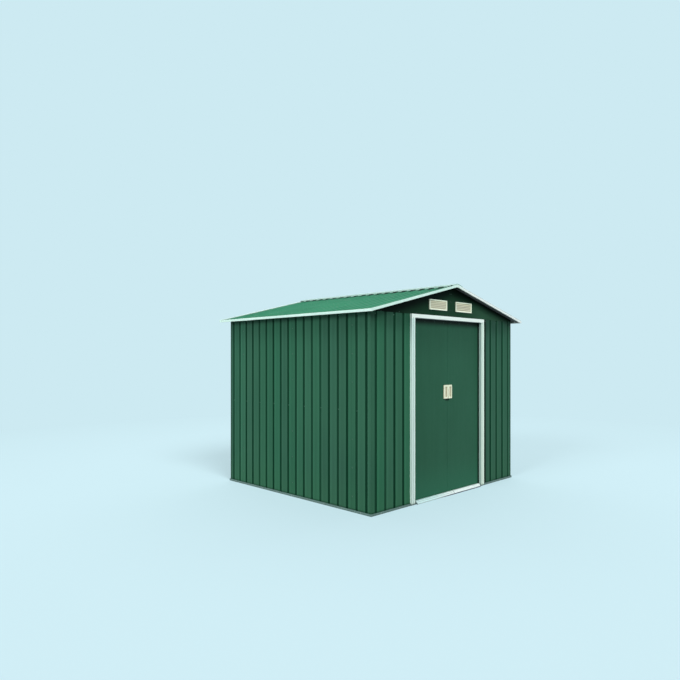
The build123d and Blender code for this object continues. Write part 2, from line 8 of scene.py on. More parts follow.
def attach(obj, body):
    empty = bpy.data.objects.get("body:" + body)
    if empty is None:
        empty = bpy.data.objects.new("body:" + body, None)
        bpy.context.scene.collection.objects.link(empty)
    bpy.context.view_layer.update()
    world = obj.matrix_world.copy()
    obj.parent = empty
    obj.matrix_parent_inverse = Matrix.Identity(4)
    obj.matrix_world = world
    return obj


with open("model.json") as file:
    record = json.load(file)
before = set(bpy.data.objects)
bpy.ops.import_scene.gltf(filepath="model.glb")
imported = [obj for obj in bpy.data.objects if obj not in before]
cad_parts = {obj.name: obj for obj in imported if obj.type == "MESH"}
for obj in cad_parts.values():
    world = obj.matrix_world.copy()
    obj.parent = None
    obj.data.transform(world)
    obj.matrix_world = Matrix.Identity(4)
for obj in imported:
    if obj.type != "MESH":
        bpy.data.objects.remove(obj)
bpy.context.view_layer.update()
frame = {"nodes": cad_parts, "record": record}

# Sizes of the shed in metres, as its frame has them
PITCH = 0.105
FRONT_RIBS = 19
SIDE_RIBS = 18
HALF_WIDTH = PITCH * FRONT_RIBS / 2
HALF_DEPTH = PITCH * SIDE_RIBS / 2
GROOVE_DEPTH = 0.009
TRIM_SHEET = 0.0015
LAP = 0.016
LAP_STEP = 0.0015
ROOF_ANGLE = math.radians(14)
EAVE_REACH = 1.0675
EAVE_TRIM_REACH = 1.0715
VERGE_TRIM_REACH = 1.020
ROOF_EDGE = 1.542
RIDGE = 1.8082
RIDGE_CAP_WING = 0.070
ROOF_RIB_HEIGHT = 0.005
RIDGE_CAP_LIP = 0.012
BASE_PROUD = 0.007
GABLE_FACE = 0.9462
VENT_CENTRE = (0.185, 1.6343)
VENT_PROUD = 0.009
DOORWAY_CENTRE = -0.028
RAMP_SEAM = 0.027
RAMP_CREASE = 0.018
RAMP_TOP = 0.0265
DOOR_FRAME_HALF = 0.520
JAMB_FACE = 0.041
JAMB_PROUD = 0.020
JAMB_BEAD = 0.005
RIGHT_JAMB_EDGE = DOORWAY_CENTRE + DOOR_FRAME_HALF
DOORWAY_HALF = DOOR_FRAME_HALF - JAMB_FACE
DOOR_FRONT = -0.928
DOOR_GAP = 0.005
DOOR_SPAN = (0.024, 1.522)
HANDLE_CENTRE = 0.893
HANDLE_FOOT = 0.834
HANDLE_PROUD = 0.012
HANDLE_REACH = 0.0295

# Ranges of a noise pattern that a finish spreads over its whole effect
CLOUD_RANGE = (0.3, 0.7)
STREAK_RANGE = (0.25, 0.75)
WEAR_RANGE = (0.2, 0.8)


def srgb(red, green, blue):
    """A colour given as it looks on a screen, 0 to 255, in the linear values that a shader takes."""
    def linear(value):
        value /= 255
        return value / 12.92 if value <= 0.04045 else ((value + 0.055) / 1.055) ** 2.4
    return (linear(red), linear(green), linear(blue), 1.0)


def scaled(colour, factor):
    """A plain colour made lighter or darker by a factor."""
    return tuple(value * factor for value in colour[:3]) + (1.0,)


# Materials: every pattern lies in the object's own space
class Finish:
    """A material under construction, with short calls for the nodes used here."""

    def __init__(self, name, roughness, specular, metallic=0.0):
        self.material = bpy.data.materials.new(name)
        self.material.use_nodes = True
        self.tree = self.material.node_tree
        self.shader = self.tree.nodes["Principled BSDF"]
        self.shader.inputs["Roughness"].default_value = roughness
        self.shader.inputs["Metallic"].default_value = metallic
        self.shader.inputs["Specular IOR Level"].default_value = specular
        self.place = self.tree.nodes.new("ShaderNodeTexCoord").outputs["Object"]
        self.height = None

    def put(self, socket, value):
        """Links a node's output to a socket, or sets the socket to a plain value."""
        if isinstance(value, bpy.types.NodeSocket):
            self.tree.links.new(value, socket)
        else:
            socket.default_value = value

    def math(self, operation, *values):
        """One step of arithmetic on plain values or on the outputs of nodes."""
        node = self.tree.nodes.new("ShaderNodeMath")
        node.operation = operation
        for socket, value in zip(node.inputs, values):
            self.put(socket, value)
        return node.outputs[0]

    def plus(self, first, second):
        return self.math("ADD", first, second)

    def minus(self, first, second):
        return self.math("SUBTRACT", first, second)

    def times(self, first, second):
        return self.math("MULTIPLY", first, second)

    def size(self, value):
        """The value without its sign."""
        return self.math("ABSOLUTE", value)

    def axes(self, vector=None):
        """The three parts of a vector, or of the place that is shaded."""
        node = self.tree.nodes.new("ShaderNodeSeparateXYZ")
        self.put(node.inputs[0], self.place if vector is None else vector)
        return node.outputs[0], node.outputs[1], node.outputs[2]

    def stretched(self, scale):
        """The place that is shaded, scaled along each axis."""
        node = self.tree.nodes.new("ShaderNodeMapping")
        self.put(node.inputs["Vector"], self.place)
        node.inputs["Scale"].default_value = scale
        return node.outputs[0]

    def noise(self, scale, detail, roughness=0.5):
        """Cloudy pattern from 0 to 1; scale is cycles a metre along each axis."""
        node = self.tree.nodes.new("ShaderNodeTexNoise")
        self.put(node.inputs["Vector"], self.stretched(scale))
        node.inputs["Scale"].default_value = 1.0
        node.inputs["Detail"].default_value = detail
        node.inputs["Roughness"].default_value = roughness
        return node.outputs["Fac"]

    def cell(self, value):
        """A steady random number from 0 to 1 for each whole number."""
        node = self.tree.nodes.new("ShaderNodeTexWhiteNoise")
        node.noise_dimensions = "1D"
        self.put(node.inputs["W"], value)
        return node.outputs["Value"]

    def between(self, value, low, high, start=0.0, end=1.0):
        """Smooth step: start below low, end above high."""
        node = self.tree.nodes.new("ShaderNodeMapRange")
        node.interpolation_type = "SMOOTHSTEP"
        for name, given in (("Value", value), ("From Min", low), ("From Max", high),
                            ("To Min", start), ("To Max", end)):
            self.put(node.inputs[name], given)
        return node.outputs["Result"]

    def either(self, choice, first, second):
        """The first value where choice is 1, the second where it is 0."""
        kept = self.times(first, choice)
        return self.plus(kept, self.times(second, self.minus(1.0, choice)))

    def mix(self, factor, first, second):
        """The first colour where the factor is 0, the second where it is 1."""
        node = self.tree.nodes.new("ShaderNodeMix")
        node.data_type = "RGBA"
        self.put(node.inputs[0], factor)
        self.put(node.inputs[6], first)
        self.put(node.inputs[7], second)
        return node.outputs[2]

    def toward(self, colour, other, value, low, high, start=0.0, end=1.0):
        """The colour with a share of another, which goes from start to end as the value rises."""
        return self.mix(self.between(value, low, high, start, end), colour, other)

    def tinted(self, colour, value):
        """The colour made lighter or darker by a factor."""
        node = self.tree.nodes.new("ShaderNodeVectorMath")
        node.operation = "SCALE"
        self.put(node.inputs[0], colour if isinstance(colour, bpy.types.NodeSocket) else colour[:3])
        self.put(node.inputs["Scale"], value)
        return node.outputs[0]

    def shaded(self, colour, value, low, high, start, end):
        """The colour times a factor, which goes from start to end as the value rises."""
        return self.tinted(colour, self.between(value, low, high, start, end))

    def normal(self):
        """Which way the surface faces."""
        return self.tree.nodes.new("ShaderNodeNewGeometry").outputs["Normal"]

    def relief(self, height, distance, strength):
        """Adds a bump; distance is the height in metres between the pattern's 0 and 1."""
        node = self.tree.nodes.new("ShaderNodeBump")
        node.inputs["Strength"].default_value = strength
        node.inputs["Distance"].default_value = distance
        self.put(node.inputs["Height"], height)
        if self.height is not None:
            self.put(node.inputs["Normal"], self.height)
        self.height = node.outputs[0]

    def done(self, colour, roughness=None):
        """Joins the colour, the roughness and the bumps to the shader and gives the material."""
        self.put(self.shader.inputs["Base Color"], colour)
        if roughness is not None:
            self.put(self.shader.inputs["Roughness"], roughness)
        self.put(self.shader.inputs["Normal"], self.height)
        return self.material


def coat_relief(finish):
    """The faint skin of baked enamel on thin sheet."""
    finish.relief(finish.noise((900, 900, 900), 2), 0.00004, 0.5)


def roof_plane(finish, from_ridge):
    """Height of the roof's pans at a distance from the ridge."""
    return finish.minus(RIDGE, finish.times(from_ridge, math.tan(ROOF_ANGLE)))


def wall_places(finish, x, y):
    """Side wall or not, way along the wall, depth in it, its number, and how far the sheet faces out."""
    side_x = finish.math("SIGN", x)
    side_y = finish.math("SIGN", y)
    from_x_wall = finish.minus(HALF_WIDTH, finish.size(x))
    from_y_wall = finish.minus(HALF_DEPTH, finish.size(y))
    depth = finish.math("MINIMUM", from_x_wall, from_y_wall)
    on_x_wall = finish.math("LESS_THAN", from_x_wall, from_y_wall)
    along_x_wall = finish.plus(finish.times(y, side_x), HALF_DEPTH)
    along_y_wall = finish.minus(HALF_WIDTH, finish.times(x, side_y))
    run = finish.either(on_x_wall, along_x_wall, along_y_wall)
    number = finish.either(on_x_wall, side_x, finish.times(side_y, 3.0))
    nx, ny, _ = finish.axes(finish.normal())
    outward = finish.either(on_x_wall, finish.times(nx, side_x), finish.times(ny, side_y))
    return on_x_wall, run, depth, number, outward


def pan_green(finish, pitches, number):
    """The green of the flat pans between the grooves: each its own tone, with painted highlights along
    both edges.
    """
    hue_step, light_step = 37.0, 91.5
    first_edge, second_edge = (0.15, 0.42), (0.50, 0.80)
    shifted = finish.plus(pitches, 0.5)
    pan = finish.math("FLOOR", shifted)
    across = finish.math("FRACT", shifted)
    hue = finish.cell(finish.plus(pan, finish.times(number, hue_step)))
    light = finish.cell(finish.plus(pan, finish.times(number, light_step)))
    green = finish.mix(hue, srgb(47, 91, 72), srgb(40, 96, 71))
    green = finish.shaded(green, light, 0.0, 1.0, 0.90, 1.08)
    # painted highlights along both edges of each pan
    green = finish.shaded(green, across, *first_edge, 1.20, 0.92)
    return finish.shaded(green, across, *second_edge, 1.0, 1.08)


def front_shade(finish, green, x, y, z):
    """The front wall's painted shadow beside the right jamb, painted shade at its top under the roof,
    and its duller right part.
    """
    behind_front = (0.010 - HALF_DEPTH, 0.012 - HALF_DEPTH)
    right_part, under_roof = (0.40, 0.50), (1.36, 1.50)
    strip_start = (RIGHT_JAMB_EDGE - 0.030, RIGHT_JAMB_EDGE - 0.028)
    strip_end = (RIGHT_JAMB_EDGE + 0.058, RIGHT_JAMB_EDGE + 0.074)
    front = finish.between(y, *behind_front, 1.0, 0.0)
    # painted shadow of the right jamb on the wall beside it
    jamb_shadow = finish.times(front, finish.between(x, *strip_end, 1.0, 0.0))
    jamb_shadow = finish.times(jamb_shadow, finish.between(x, *strip_start, 0.0, 0.85))
    green = finish.mix(jamb_shadow, green, srgb(4, 24, 17))
    green = finish.shaded(green, finish.times(front, x), *right_part, 1.0, 0.93)
    # painted shade at the top of the front wall, under the roof's overhang
    return finish.shaded(green, finish.times(front, z), *under_roof, 1.0, 0.76)


def wall_paint():
    """Green enamel on the ribbed walls: each pan a touch different, painted shade in the grooves, a grey
    back coat.
    """
    foot, under_eave, base_shadow = (0.0, 0.35), (1.25, 1.54), (0.018, 0.034)
    far_edge, groove_side, facing_in = (-0.040, -0.020), (0.0003, 0.0035), (-0.05, 0.05)
    finish = Finish("green_wall_enamel", 0.5, specular=0.1)
    x, y, z = finish.axes()
    on_x_wall, run, depth, number, outward = wall_places(finish, x, y)
    pitches = finish.math("DIVIDE", run, PITCH)
    green = pan_green(finish, pitches, number)
    streaks = finish.noise((22, 22, 0.7), 4, 0.6)
    green = finish.shaded(green, streaks, *STREAK_RANGE, 0.93, 1.07)
    clouds = finish.noise((1.6, 1.6, 1.1), 2)
    green = finish.toward(green, srgb(53, 105, 78), clouds, *CLOUD_RANGE, 0.0, 0.35)
    green = finish.toward(green, srgb(50, 104, 70), z, *foot, 0.25, 0.0)
    # painted shade under the eaves
    green = finish.shaded(green, z, *under_eave, 1.0, 0.80)
    green = finish.shaded(green, z, *base_shadow, 0.55, 1.0)
    # painted shade along each wall's far edge, by the corners
    past_edge = finish.either(on_x_wall, finish.minus(y, HALF_DEPTH), finish.minus(x, HALF_WIDTH))
    green = finish.shaded(green, past_edge, *far_edge, 1.0, 0.66)
    green = front_shade(finish, green, x, y, z)
    # painted shade in the grooves, stronger in some than in others
    strength = finish.between(finish.cell(finish.math("FLOOR", pitches)), 0.0, 1.0, 0.72, 1.0)
    groove_shade = finish.times(finish.between(depth, *groove_side), strength)
    green = finish.mix(groove_shade, green, srgb(3, 50, 31))
    back_coat = finish.shaded(srgb(160, 166, 168), streaks, *WEAR_RANGE, 0.9, 1.05)
    green = finish.mix(finish.between(outward, *facing_in, 1.0, 0.0), green, back_coat)
    coat_relief(finish)
    finish.relief(finish.noise((5, 5, 1.3), 1), 0.0035, 0.35)
    wear = finish.noise((60, 60, 12), 3)
    return finish.done(green, finish.between(wear, *WEAR_RANGE, 0.44, 0.56))


def enamel(finish, colour, lighter):
    """The start of a flat sheet's paint: faint clouds and upright streaks."""
    clouds = finish.noise((2.2, 2.2, 1.2), 3)
    paint = finish.toward(colour, lighter, clouds, *CLOUD_RANGE)
    streaks = finish.noise((30, 30, 1.2), 4, 0.6)
    return finish.shaded(paint, streaks, *STREAK_RANGE, 0.96, 1.04)


def enamelled(finish, paint, roughness, waves):
    """The end of a flat sheet's paint: its skin, the waves of the sheet and a little wear."""
    coat_relief(finish)
    finish.relief(finish.noise((3, 3, 2), 1), waves, 0.35)
    wear = finish.noise((50, 50, 30), 3)
    return finish.done(paint, finish.between(wear, *WEAR_RANGE, roughness - 0.06, roughness + 0.06))


def door_paint():
    """Green enamel on the doors: brighter foot, darker towards the head, painted shadow under the head
    rail, under the pulls and by the right jamb.
    """
    foot, upper, head_shadow = (0.02, 0.36), (1.1, 1.46), (1.435, 1.500)
    right_jamb_shadow = (0.428, 0.440)
    pull_shadow_reach, pull_shadow_drop = (0.020, 0.038), (0.010, 0.026)
    finish = Finish("green_door_enamel", 0.5, specular=0.08)
    x, _, z = finish.axes()
    paint = enamel(finish, srgb(40, 86, 65), srgb(42, 89, 68))
    paint = finish.toward(paint, srgb(43, 98, 75), z, *foot, 0.9, 0.0)
    paint = finish.shaded(paint, z, *upper, 1.0, 0.80)
    # painted shadow under the head rail
    paint = finish.shaded(paint, z, *head_shadow, 1.0, 0.12)
    from_middle = finish.size(finish.minus(x, DOORWAY_CENTRE))
    # painted shadow under the pulls
    under_pulls = finish.minus(HANDLE_FOOT, z)
    pull_shadow = finish.times(finish.between(from_middle, *pull_shadow_reach, 0.95, 0.0),
                         finish.between(under_pulls, *pull_shadow_drop, 1.0, 0.0))
    pull_shadow = finish.times(pull_shadow, finish.math("LESS_THAN", z, HANDLE_FOOT))
    paint = finish.mix(pull_shadow, paint, srgb(3, 20, 11))
    # painted shadow beside the right jamb
    paint = finish.shaded(paint, x, *right_jamb_shadow, 1.0, 0.4)
    return enamelled(finish, paint, 0.5, 0.002)


def gable_paint():
    """Dark green gable enamel, painted darker than the walls as shade, with painted shadow under the
    roof reaching further down on the left, and painted light and shade lighter right and darker left.
    """
    right_part, right_half, left_part = (-0.45, -0.20), (-0.35, 0.0), (0.35, 0.75)
    shadow_spread = (-0.45, 0.20)
    finish = Finish("green_gable_enamel", 0.55, specular=0.03)
    x, y, z = finish.axes()
    # the gable's green is painted darker than the walls' as shade
    paint = enamel(finish, srgb(24, 55, 37), srgb(29, 61, 42))
    leftward = finish.times(x, finish.math("SIGN", y))
    # painted light on the right part
    paint = finish.toward(paint, srgb(63, 99, 79), leftward, *right_part, 0.2, 0.0)
    # painted shadow under the roof, reaching further down on the left
    shadow_reach = finish.between(leftward, *shadow_spread, 0.055, 0.19)
    under_roof = finish.minus(roof_plane(finish, finish.size(x)), z)
    painted_shadow = finish.between(under_roof, 0.01, shadow_reach, 0.95, 0.0)
    paint = finish.mix(painted_shadow, paint, srgb(4, 13, 9))
    # painted light and shade: lighter on the right, darker on the left
    paint = finish.shaded(paint, leftward, *right_half, 1.14, 0.96)
    paint = finish.shaded(paint, leftward, *left_part, 1.0, 0.70)
    return enamelled(finish, paint, 0.5, 0.002)


def trim_paint():
    """Off-white trim enamel: whiter right, painted shade along a fold at the front right, green painted
    shade low inside.
    """
    right_side, right_front = (-0.1, 0.2), (0.0, 0.2)
    fold_line, lower_flange, facing_in = (0.0035, 0.0055), (0.0070, 0.0085), (-0.25, -0.15)
    finish = Finish("white_trim_enamel", 0.4, specular=0.3)
    x, y, z = finish.axes()
    paint = enamel(finish, srgb(203, 233, 222), srgb(211, 238, 228))
    paint = finish.toward(paint, srgb(232, 241, 238), x, *right_side)
    above_pans = finish.minus(z, roof_plane(finish, finish.size(x)))
    on_right_front = finish.times(finish.between(x, *right_front, 0.0, 0.55),
                                  finish.math("LESS_THAN", y, 0.0))
    # painted shade along the top fold of the front right verge
    fold_shade = finish.times(finish.between(above_pans, *fold_line), on_right_front)
    paint = finish.mix(fold_shade, paint, srgb(150, 166, 164))
    _, ny, _ = finish.axes(finish.normal())
    outward = finish.times(ny, finish.math("SIGN", y))
    # painted green shade low on the inner slope of the trims
    inner_slope_shade = finish.times(finish.between(above_pans, *lower_flange, 0.9, 0.0),
                               finish.between(outward, *facing_in, 1.0, 0.0))
    paint = finish.mix(inner_slope_shade, paint, srgb(38, 88, 70))
    return enamelled(finish, paint, 0.4, 0.0004)


def frame_paint():
    """Off-white enamel on the door frame, with painted shade in the jambs' folds and inside, dark at
    their feet.
    """
    right_jamb, head_rail, foot = (0.40, 0.44), (1.500, 1.512), (0.012, 0.024)
    reveal_edge = (DOORWAY_HALF + 0.002, DOORWAY_HALF + 0.004)
    fold_edge = (DOORWAY_HALF + 0.012, DOORWAY_HALF + 0.015)
    reveal_depth, fold_depth, fold_end = (0.0015, 0.004), (0.001, 0.004), (0.006, 0.008)
    finish = Finish("white_frame_enamel", 0.4, specular=0.25)
    x, y, z = finish.axes()
    paint = enamel(finish, srgb(204, 227, 220), srgb(210, 233, 226))
    paint = finish.toward(paint, srgb(221, 242, 228), x, *right_jamb)
    paint = finish.toward(paint, srgb(230, 243, 236), z, *head_rail)
    paint = finish.shaded(paint, z, *foot, 0.40, 1.0)
    behind = finish.plus(y, HALF_DEPTH + JAMB_PROUD)
    out = finish.size(finish.minus(x, DOORWAY_CENTRE))
    # painted shade in the jambs' reveals and folds
    reveal_shade = finish.times(finish.between(out, *reveal_edge, 0.9, 0.0),
                          finish.between(behind, *reveal_depth))
    fold_shade = finish.times(finish.between(out, *fold_edge), finish.between(behind, *fold_depth, 0.0, 0.8))
    fold_shade = finish.times(fold_shade, finish.between(behind, *fold_end, 1.0, 0.0))
    jamb_shade = finish.math("MAXIMUM", reveal_shade, fold_shade)
    return enamelled(finish, finish.mix(jamb_shade, paint, srgb(160, 187, 180)), 0.4, 0.0004)


def ramp_paint():
    """Off-white enamel on the ramp: scuffed, bluer left, with a seam, a crease and dark lower edges."""
    left_half, foot = (-0.30, 0.04), (0.0060, 0.0085)
    left_end, end_height = (-0.484, -0.468), (0.010, 0.016)
    crease_band, crease_end, seam_band = (0.0008, 0.0030), (-0.02, 0.02), (0.0020, 0.006)
    scuff_range = (0.45, 0.8)
    finish = Finish("white_ramp_enamel", 0.4, specular=0.3)
    x, _, z = finish.axes()
    paint = enamel(finish, srgb(222, 237, 236), srgb(229, 242, 240))
    paint = finish.toward(paint, srgb(196, 231, 230), x, *left_half, 0.9, 0.0)
    scuffs = finish.noise((60, 60, 160), 4, 0.7)
    paint = finish.toward(paint, srgb(172, 196, 194), scuffs, *scuff_range, 0.0, 0.35)
    edge = finish.times(finish.between(z, *foot, 1.0, 0.0), finish.between(x, *left_half, 0.4, 1.0))
    paint = finish.mix(edge, paint, srgb(64, 70, 86))
    end = finish.times(finish.between(x, *left_end, 0.8, 0.0), finish.between(z, *end_height, 1.0, 0.0))
    paint = finish.mix(end, paint, srgb(46, 64, 68))
    crease = finish.between(finish.size(finish.minus(z, RAMP_CREASE)), *crease_band, 0.6, 0.0)
    crease = finish.times(crease, finish.between(x, *crease_end, 1.0, 0.2))
    paint = finish.mix(crease, paint, srgb(128, 150, 148))
    from_seam = finish.size(finish.minus(x, RAMP_SEAM))
    paint = finish.toward(paint, srgb(110, 122, 130), from_seam, *seam_band, 0.8, 0.0)
    return enamelled(finish, paint, 0.4, 0.0004)


def cap_paint():
    """Ridge cap enamel, grey-green as painted shade, with painted shadow between the ribs at the foot of
    its lips.
    """
    lip_foot, between_ribs = (0.010, 0.0115), (0.27, 0.31)
    lip = (RIDGE_CAP_WING - 0.005, RIDGE_CAP_WING - 0.003)
    finish = Finish("shaded_cap_enamel", 0.45, specular=0.08)
    x, y, z = finish.axes()
    # the cap's grey-green is painted shade
    paint = enamel(finish, srgb(152, 184, 175), srgb(162, 192, 184))
    from_ridge = finish.size(x)
    above_pans = finish.minus(z, roof_plane(finish, from_ridge))
    # painted shadow in the gaps between the ribs at the foot of the lips
    painted_shadow = finish.between(above_pans, *lip_foot, 1.0, 0.0)
    painted_shadow = finish.times(painted_shadow, finish.between(from_ridge, *lip))
    ribs = finish.math("FRACT", finish.math("DIVIDE", finish.plus(y, HALF_DEPTH), PITCH))
    from_gap = finish.size(finish.minus(ribs, 0.5))
    painted_shadow = finish.times(painted_shadow, finish.between(from_gap, *between_ribs, 0.95, 0.0))
    paint = finish.mix(painted_shadow, paint, srgb(8, 26, 20))
    return enamelled(finish, paint, 0.45, 0.0004)


def roof_paint():
    """Brighter green enamel, streaked down the slope, grey below, dark in its pans by the ridge cap."""
    facing_down, in_pans = (-0.3, 0.1), (0.0015, 0.0045)
    by_cap, near_ridge = (RIDGE_CAP_WING, RIDGE_CAP_WING + 0.060), (0.10, 0.50)
    back_left = (1.2, 1.9)
    finish = Finish("green_roof_enamel", 0.6, specular=0.03)
    x, y, z = finish.axes()
    streaks = finish.noise((1.2, 26, 1.2), 4, 0.6)
    clouds = finish.noise((2, 2, 2), 2)
    paint = finish.toward(srgb(44, 118, 87), srgb(50, 126, 94), clouds, *CLOUD_RANGE)
    paint = finish.shaded(paint, streaks, *STREAK_RANGE, 0.94, 1.06)
    _, _, up = finish.axes(finish.normal())
    paint = finish.toward(paint, srgb(96, 104, 106), up, *facing_down, 1.0, 0.0)
    from_ridge = finish.size(x)
    above_pans = finish.minus(z, roof_plane(finish, from_ridge))
    shadow = finish.times(finish.between(from_ridge, *by_cap, 0.95, 0.0),
                          finish.between(above_pans, *in_pans, 1.0, 0.0))
    paint = finish.mix(shadow, paint, srgb(8, 22, 16))
    paint = finish.shaded(paint, from_ridge, *near_ridge, 0.88, 1.0)
    to_back_left = finish.plus(finish.times(x, -1.0), y)
    paint = finish.shaded(paint, to_back_left, *back_left, 1.0, 0.86)
    coat_relief(finish)
    return finish.done(paint)


def galvanised(name, dark, light, metallic):
    """Zinc coated steel with faint spangle and duller patches, dark close to the ground."""
    patch_range, by_ground = (0.35, 0.75), (0.002, 0.006)
    finish = Finish(name, 0.45, specular=0.4, metallic=metallic)
    spangle = finish.tree.nodes.new("ShaderNodeTexVoronoi")
    spangle.inputs["Scale"].default_value = 90.0
    finish.put(spangle.inputs["Vector"], finish.place)
    flake = finish.axes(spangle.outputs["Color"])[0]
    zinc = finish.mix(flake, dark, light)
    patches = finish.noise((6, 6, 9), 4, 0.6)
    zinc = finish.shaded(zinc, patches, *patch_range, 1.0, 0.86)
    zinc = finish.shaded(zinc, finish.axes()[2], *by_ground, 0.6, 1.0)
    finish.relief(finish.noise((400, 400, 400), 2), 0.00004, 0.5)
    return finish.done(zinc, finish.between(flake, 0.0, 1.0, 0.38, 0.52))


def moulded(name, colour, deep, shade):
    """Matte moulded plastic with painted shade where it lies closer to the shed's middle than y = deep.
    """
    shade_band, dark_band = (deep - 0.004, deep), (deep - 0.007, deep - 0.001)
    finish = Finish(name, 0.5, specular=0.35)
    _, y, _ = finish.axes()
    out = finish.size(y)
    mottle = finish.noise((40, 40, 40), 3)
    plastic = finish.shaded(colour, mottle, *CLOUD_RANGE, 0.97, 1.03)
    # painted shade in the recesses, darker deeper in
    plastic = finish.toward(plastic, shade, out, *shade_band, 1.0, 0.0)
    plastic = finish.shaded(plastic, out, *dark_band, 0.74, 1.0)
    finish.relief(finish.noise((1500, 1500, 1500), 2), 0.00003, 0.6)
    return finish.done(plastic)


def plain(name, colour, roughness, metallic=0.0):
    """One colour, faintly mottled, for small pieces."""
    finish = Finish(name, roughness, specular=0.4, metallic=metallic)
    mottle = finish.noise((120, 120, 120), 3)
    finish.relief(finish.noise((2000, 2000, 2000), 2), 0.00002, 0.6)
    return finish.done(finish.shaded(colour, mottle, *CLOUD_RANGE, 0.94, 1.06))


VENT_BLADES = GABLE_FACE + VENT_PROUD - 0.0005
PULL_RECESS = HANDLE_PROUD - DOOR_FRONT - 0.002
WALL = wall_paint()
ROOF = roof_paint()
DOOR = door_paint()
GABLE = gable_paint()
TRIM = trim_paint()
FRAME = frame_paint()
RAMP = ramp_paint()
CAP = cap_paint()
ZINC = galvanised("galvanised_steel", srgb(180, 186, 188), srgb(203, 208, 209), 0.55)
BASE = galvanised("dull_base_zinc", srgb(88, 116, 110), srgb(102, 130, 124), 0.1)
CREAM = moulded("cream_vent_plastic", srgb(243, 254, 232), VENT_BLADES, srgb(243, 240, 214))
PULL = moulded("cream_pull_plastic", srgb(234, 240, 214), PULL_RECESS, srgb(220, 214, 186))
BLACK = plain("black_slide_plastic", srgb(38, 39, 40), 0.5)

SLOT_FINISH = {
    "wall_green": WALL,
    "roof_green": ROOF,
    "door_green": DOOR,
    "gable_green": GABLE,
    "trim_white": TRIM,
    "galvanised": ZINC,
    "cream_plastic": CREAM,
    "black_plastic": BLACK,
}
NODE_FINISH = (
    ("base_rail", BASE), ("threshold_ramp", RAMP), ("door_jamb", FRAME), ("door_head", FRAME),
    ("door_handle", PULL), ("ridge_cap", CAP),
)


def finish_nodes():
    """Gives every node of the frame the finish of its slot, or its own."""
    for row in frame["record"]["subparts"]:
        material = SLOT_FINISH[row["material_slot"]]
        for start, own in NODE_FINISH:
            if row["node"].startswith(start):
                material = own
        mesh = frame["nodes"][row["node"]].data
        for i in range(max(1, len(mesh.materials))):
            if i < len(mesh.materials):
                mesh.materials[i] = material
            else:
                mesh.materials.append(material)


finish_nodes()


# Detail: every piece is joined mesh, placed on the face that carries it
class Stock:
    """Points and faces that end up as one piece."""

    def __init__(self):
        self.points = []
        self.faces = []

    def add(self, points, faces, place):
        """Adds a copy of a small mesh, placed by a matrix."""
        first = len(self.points)
        self.points += [place @ point for point in points]
        self.faces += [[first + i for i in face] for face in faces]

    def piece(self, name, material, slot, body, smooth=True):
        """Makes the mesh object and lets it ride on its body."""
        mesh = bpy.data.meshes.new(name)
        mesh.from_pydata(self.points, [], self.faces)
        mesh.materials.append(material)
        for polygon in mesh.polygons:
            polygon.use_smooth = smooth
        piece = bpy.data.objects.new(name, mesh)
        bpy.context.scene.collection.objects.link(piece)
        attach(piece, body)


def turned(profile, sides):
    """A solid of revolution about Z, from the rim to the middle; profile is radius and height."""
    points = []
    for radius, height in profile:
        for i in range(sides):
            angle = 2 * math.pi * i / sides
            points.append(Vector((radius * math.cos(angle), radius * math.sin(angle), height)))
    faces = []
    for ring in range(len(profile) - 1):
        for i in range(sides):
            a, b = ring * sides + i, ring * sides + (i + 1) % sides
            faces.append([a, b, b + sides, a + sides])
    faces.append([(len(profile) - 1) * sides + i for i in range(sides)])
    return points, faces


# Screw heads: rings, recess and washer, and the turn from one screw to the next
SCREW_SIDES = 12
PAN_RINGS = ((1.0, 0.25), (0.88, 0.45), (0.66, 0.58), (0.46, 0.62), (0.16, 0.62))
RECESS_ARM_DROP = 0.25
RECESS_FLOOR_DROP = 0.34
ARM_SPACING = 3
WASHER_CROWN = 0.0012
WASHER_RIM = 0.0006
WASHER_BEVEL = (0.0005, 0.0011)
HEAD_LIFT = 0.0001
SCREW_TURN = 2.4
SMALL_SCREW = 0.0034


def screw_head(radius, washer):
    """A pan head with a cross recess, on a domed washer where washer is its radius."""
    seat = 0.0
    foot = seat
    profile = []
    if washer:
        seat = WASHER_CROWN
        foot = seat + HEAD_LIFT
        bevel, bevel_height = WASHER_BEVEL
        profile += [(washer, 0.0), (washer, WASHER_RIM), (washer - bevel, bevel_height), (radius, seat)]
    profile.append((radius, foot))
    profile += [(share * radius, seat + rise * radius) for share, rise in PAN_RINGS]
    points, faces = turned(profile, SCREW_SIDES)
    arm = len(profile) - 2
    for i in range(SCREW_SIDES):
        if i % ARM_SPACING == 0:
            points[arm * SCREW_SIDES + i].z -= RECESS_ARM_DROP * radius
        points[(arm + 1) * SCREW_SIDES + i].z -= RECESS_FLOOR_DROP * radius
    return points, faces


def facing(point, normal, turn):
    """Matrix that stands a small mesh on a point, its Z along the normal."""
    stand = Vector(normal).to_track_quat("Z", "X").to_matrix().to_4x4()
    return Matrix.Translation(point) @ stand @ Matrix.Rotation(turn, 4, "Z")


def screws(name, material, slot, body, spots, radius=0.0038, washer=0.0058):
    """One piece of like screws; each spot is a point and a normal, and each screw has its own turn."""
    stock = Stock()
    points, faces = screw_head(radius, washer)
    for i, (point, normal) in enumerate(spots):
        stock.add(points, faces, facing(point, normal, SCREW_TURN * i))
    stock.piece(name, material, slot, body)


